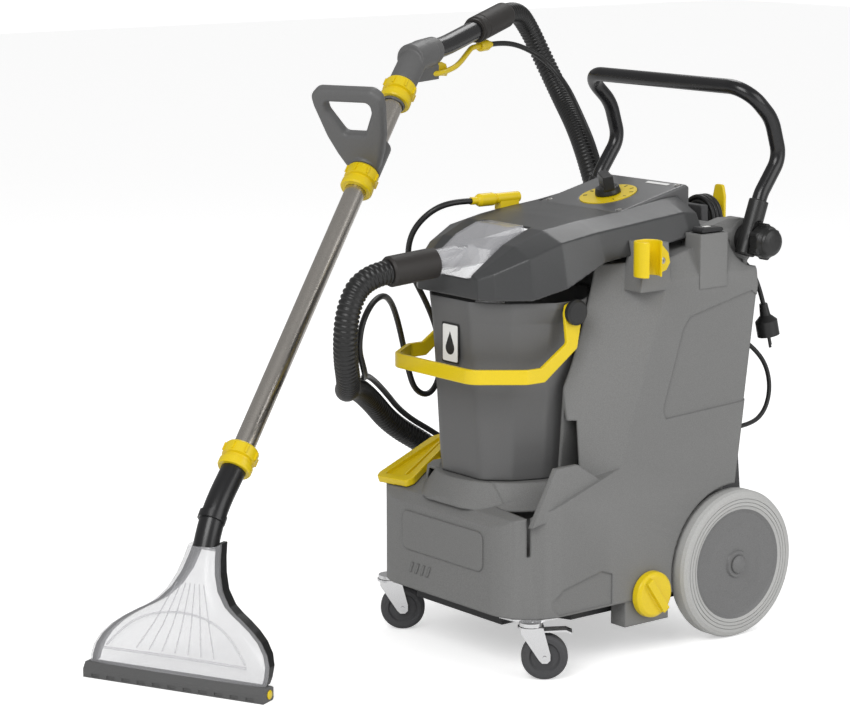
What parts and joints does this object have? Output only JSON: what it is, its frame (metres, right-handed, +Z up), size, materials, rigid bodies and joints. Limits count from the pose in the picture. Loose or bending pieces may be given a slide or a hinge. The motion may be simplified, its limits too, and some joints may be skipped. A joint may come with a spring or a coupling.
{
  "type": "carpet cleaner machine",
  "caption": "Wheeled spray-extraction carpet cleaner with a lift-out recovery bucket, folding push handle, suction and spray hoses and a floor wand.",
  "frame": {"origin": "centre of the rigid object's footprint on the floor, free cords and hoses left out", "axes": "+Z up; -Y towards the bucket end and the floor tool; +X to the machine's drain cap side"},
  "size_m": [0.95, 1.331, 1.0204],
  "materials": {
    "body_grey": "fine grained moulded polyethylene",
    "rear_grey": "grained moulded plastic",
    "charcoal": "satin moulded plastic",
    "pan_black": "grained moulded plastic",
    "console_grey": "satin moulded plastic",
    "yellow": "smooth bright moulded plastic",
    "screw_steel": "zinc plated",
    "knob_black": "satin moulded plastic",
    "switch_black": "moulded plastic",
    "clear": "clear moulded polycarbonate",
    "cuff_rubber": "soft moulded rubber",
    "motor_case": "moulded housing",
    "axle_steel": "drawn bar",
    "tyre_grey": "non-marking light grey rubber",
    "hub_grey": "moulded plastic",
    "chrome": "bright plated pressed steel",
    "caster_rubber": "solid rubber tread on a plastic core",
    "handle_black": "gloss powder coat",
    "bucket_grey": "smooth moulded plastic",
    "float_white": "moulded plastic",
    "hose_black": "corrugated flexible hose",
    "spray_black": "smooth pressure hose",
    "cord_black": "rubber sheathed flex",
    "nozzle_black": "smooth moulded plastic",
    "lip_grey": "moulded plastic",
    "tube_steel": "brushed stainless tube",
    "grip_grey": "satin moulded plastic"
  },
  "bodies": {
    "machine": {"main_body": "body_grey", "base_pan": "pan_black", "rear_cover": "rear_grey", "top_cover": "charcoal", "control_console": "console_grey", "dial_plate": "yellow", "panel_screws": "screw_steel", "rotary_switch": "switch_black", "inlet_dome": "clear", "machine_hose_cuff": "cuff_rubber", "vacuum_turbine": "motor_case", "spray_pump": "motor_case", "tube_clip": "yellow", "brush_socket": "pan_black", "rear_axle": "axle_steel", "caster_plates": "chrome", "float_valve": "float_white", "cord_hook_lower": "knob_black", "power_cord_coil": "cord_black", "power_cord_lead": "cord_black", "power_cord_tail": "cord_black", "power_plug": "knob_black", "cord_gland": "knob_black", "nozzle_lip": "lip_grey", "nozzle_window": "clear", "nozzle_shell": "nozzle_black", "suction_tube": "tube_steel", "grip_body": "grip_grey", "grip_tube": "handle_black", "grip_hose_cuff": "cuff_rubber", "suction_hose": "hose_black", "spray_hose": "spray_black", "spray_coupling_machine": "yellow", "spray_coupling_grip": "yellow"},
    "knob": {"selector_knob": "knob_black"},
    "lid": {"socket_lid": "pan_black"},
    "cap": {"filler_cap": "yellow"},
    "drain": {"drain_cap": "yellow"},
    "wheel_right": {"tyre_right": "tyre_grey", "wheel_hub_right": "hub_grey"},
    "wheel_left": {"tyre_left": "tyre_grey", "wheel_hub_left": "hub_grey"},
    "fork_right": {"caster_fork_right": "chrome"},
    "fork_left": {"caster_fork_left": "chrome"},
    "roller_right": {"caster_wheel_right": "caster_rubber"},
    "roller_left": {"caster_wheel_left": "caster_rubber"},
    "brake": {"caster_brake": "chrome"},
    "handle": {"push_handle": "handle_black", "handle_tees": "knob_black"},
    "clamp_right": {"clamp_knob_right": "knob_black"},
    "clamp_left": {"clamp_knob_left": "knob_black"},
    "bucket": {"recovery_bucket": "bucket_grey"},
    "bail": {"bucket_bail": "yellow", "bail_caps": "knob_black"},
    "hook": {"cord_hook_upper": "yellow"},
    "nut_lower": {"union_lower": "yellow"},
    "nut_upper": {"union_upper": "yellow"},
    "slider": {"d_handle": "grip_grey", "union_middle": "yellow"},
    "trigger_lever": {"trigger": "yellow"}
  },
  "joints": [
    {"name": "right_wheel_spin", "type": "hinge", "parent": "machine", "child": "wheel_right", "pos_m": [0.41088, 0.38312, 0.126], "axis": [1, 0, 0], "continuous": true},
    {"name": "left_wheel_spin", "type": "hinge", "parent": "machine", "child": "wheel_left", "pos_m": [0.00088, 0.38312, 0.126], "axis": [1, 0, 0], "continuous": true},
    {"name": "caster_swivel_right", "type": "hinge", "parent": "machine", "child": "fork_right", "pos_m": [0.39188, -0.04088, 0.085], "axis": [0, 0, 1], "continuous": true},
    {"name": "caster_swivel_left", "type": "hinge", "parent": "machine", "child": "fork_left", "pos_m": [0.01988, -0.04088, 0.085], "axis": [0, 0, 1], "continuous": true},
    {"name": "caster_roll_right", "type": "hinge", "parent": "fork_right", "child": "roller_right", "pos_m": [0.40564, -0.02371, 0.0375], "axis": [-0.7804, 0.6253, 0], "continuous": true},
    {"name": "caster_roll_left", "type": "hinge", "parent": "fork_left", "child": "roller_left", "pos_m": [0.03364, -0.02371, 0.0375], "axis": [-0.7804, 0.6253, 0], "continuous": true},
    {"name": "caster_brake_press", "type": "hinge", "parent": "fork_right", "child": "brake", "pos_m": [0.40063, -0.02995, 0.0803], "axis": [-0.7804, 0.6253, 0], "range_deg": [0, 8]},
    {"name": "handle_fold", "type": "hinge", "parent": "machine", "child": "handle", "pos_m": [0.20588, 0.42812, 0.669], "axis": [1, 0, 0], "range_deg": [0, 60]},
    {"name": "clamp_turn_right", "type": "hinge", "parent": "handle", "child": "clamp_right", "pos_m": [0.42588, 0.42812, 0.669], "axis": [1, 0, 0], "range_deg": [-360, 360]},
    {"name": "clamp_turn_left", "type": "hinge", "parent": "handle", "child": "clamp_left", "pos_m": [-0.01412, 0.42812, 0.669], "axis": [-1, 0, 0], "range_deg": [-360, 360]},
    {"name": "selector_turn", "type": "hinge", "parent": "machine", "child": "knob", "pos_m": [0.20588, 0.28212, 0.7374], "axis": [0, -0.2272, 0.9738], "range_deg": [0, 135]},
    {"name": "bucket_slide", "type": "slide", "parent": "machine", "child": "bucket", "axis": [0, -1, 0], "range_m": [0, 0.05]},
    {"name": "bail_swing", "type": "hinge", "parent": "bucket", "child": "bail", "pos_m": [0.20588, 0.07112, 0.58], "axis": [-1, 0, 0], "range_deg": [0, 12]},
    {"name": "filler_cap_lift", "type": "slide", "parent": "machine", "child": "cap", "axis": [0, -0.3256, 0.9455], "range_m": [0, 0.05]},
    {"name": "drain_cap_turn", "type": "hinge", "parent": "machine", "child": "drain", "pos_m": [0.41088, 0.19712, 0.104], "axis": [1, 0, 0], "range_deg": [0, 360]},
    {"name": "socket_lid_open", "type": "hinge", "parent": "machine", "child": "lid", "pos_m": [0.38288, 0.33112, 0.697], "axis": [0, -1, 0], "range_deg": [0, 80], "stiffness_Nm_per_rad": 0.02},
    {"name": "cord_hook_turn", "type": "hinge", "parent": "machine", "child": "hook", "pos_m": [0.23788, 0.47612, 0.69], "axis": [0, 1, 0], "range_deg": [0, 180]},
    {"name": "lower_union_turn", "type": "hinge", "parent": "machine", "child": "nut_lower", "pos_m": [-0.00216, -0.33518, 0.326], "axis": [-0.3058, 0.6511, 0.6947], "range_deg": [0, 270]},
    {"name": "upper_union_turn", "type": "hinge", "parent": "machine", "child": "nut_upper", "pos_m": [-0.24554, 0.18308, 0.87898], "axis": [-0.3058, 0.6511, 0.6947], "range_deg": [0, 270]},
    {"name": "d_handle_slide", "type": "slide", "parent": "machine", "child": "slider", "axis": [-0.3058, 0.6511, 0.6947], "range_m": [-0.3, 0.02]},
    {"name": "trigger_pull", "type": "hinge", "parent": "machine", "child": "trigger_lever", "pos_m": [-0.30821, 0.31653, 0.921], "axis": [0.9052, 0.4251, 0], "range_deg": [0, 10], "stiffness_Nm_per_rad": 0.5}
  ]
}
